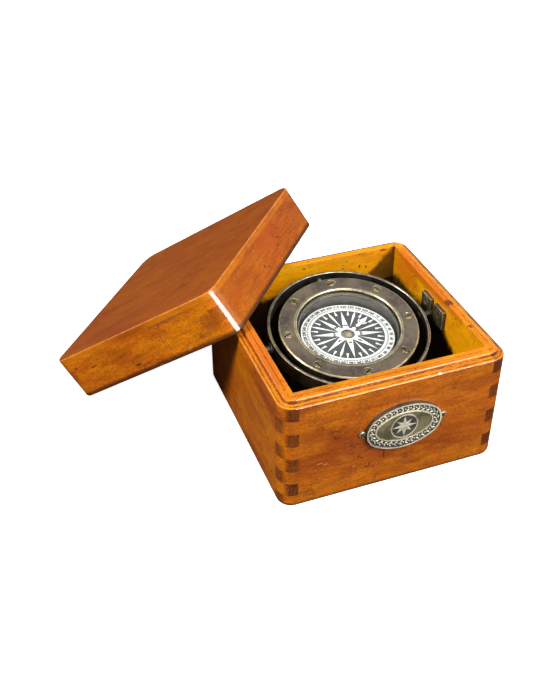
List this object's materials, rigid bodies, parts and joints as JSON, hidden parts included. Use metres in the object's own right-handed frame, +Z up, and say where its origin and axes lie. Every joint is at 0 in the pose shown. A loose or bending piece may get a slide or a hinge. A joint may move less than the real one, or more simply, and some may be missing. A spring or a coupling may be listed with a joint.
{
  "type": "lifeboat compass",
  "caption": "Dry-card compass whose bowl hangs in a gimbal ring inside a finger-jointed wooden box, with a lift-off lid and a blank oval name plate.",
  "frame": {"origin": "middle of the box's underside", "axes": "+X to the right along the front wall that carries the name plate, +Y from the front wall to the back wall, +Z up out of the box"},
  "size_m": [0.2326, 0.2533, 0.1036],
  "materials": {
    "case_wood": "honey-orange varnish, worn and speckled",
    "lid_wood": "redder brown varnish, worn and speckled",
    "plate_metal": "antique brass relief with a dark ground",
    "dark_brass": "dark antique brass with bright worn edges",
    "antique_brass": "aged yellow brass",
    "weight_metal": "dull grey",
    "steel": "satin",
    "glass": "clear",
    "gasket": "matte black",
    "card_paper": "printed, matte white and charcoal",
    "jewel": "polished"
  },
  "bodies": {
    "box": {"base_board": "case_wood", "front_wall": "case_wood", "back_wall": "case_wood", "left_wall": "case_wood", "right_wall": "case_wood", "name_plate": "plate_metal", "plate_pins": "dark_brass", "left_bracket": "antique_brass", "right_bracket": "antique_brass", "bracket_screws": "antique_brass"},
    "ring": {"gimbal_ring": "dark_brass", "outer_pivots": "antique_brass"},
    "bowl": {"bowl": "dark_brass", "bowl_weight": "weight_metal", "inner_pivots": "antique_brass", "pivot_post": "antique_brass", "pivot_needle": "steel", "glass": "glass", "glass_gasket": "gasket", "bezel": "dark_brass", "bezel_screws": "antique_brass"},
    "card": {"compass_card": "card_paper", "card_cap": "antique_brass", "cap_jewel": "jewel", "card_magnets": "steel"},
    "lid": {"lid_top_board": "lid_wood", "lid_front_rail": "case_wood", "lid_back_rail": "case_wood", "lid_left_rail": "case_wood", "lid_right_rail": "case_wood"}
  },
  "joints": [
    {"name": "ring_swing", "type": "hinge", "parent": "box", "child": "ring", "pos_m": [0, 0, 0.062], "axis": [1, 0, 0], "range_deg": [-50, 30]},
    {"name": "bowl_swing", "type": "hinge", "parent": "ring", "child": "bowl", "pos_m": [0, 0, 0.062], "axis": [0, 0.9848, 0.1736], "range_deg": [-25, 25]},
    {"name": "card_spin", "type": "hinge", "parent": "bowl", "child": "card", "pos_m": [0.00004, 0.00026, 0.06052], "axis": [0.0174, -0.0697, 0.9974], "continuous": true},
    {"name": "lid_lift", "type": "slide", "parent": "box", "child": "lid", "axis": [0, 0, 1], "range_m": [0, 0.15]}
  ]
}
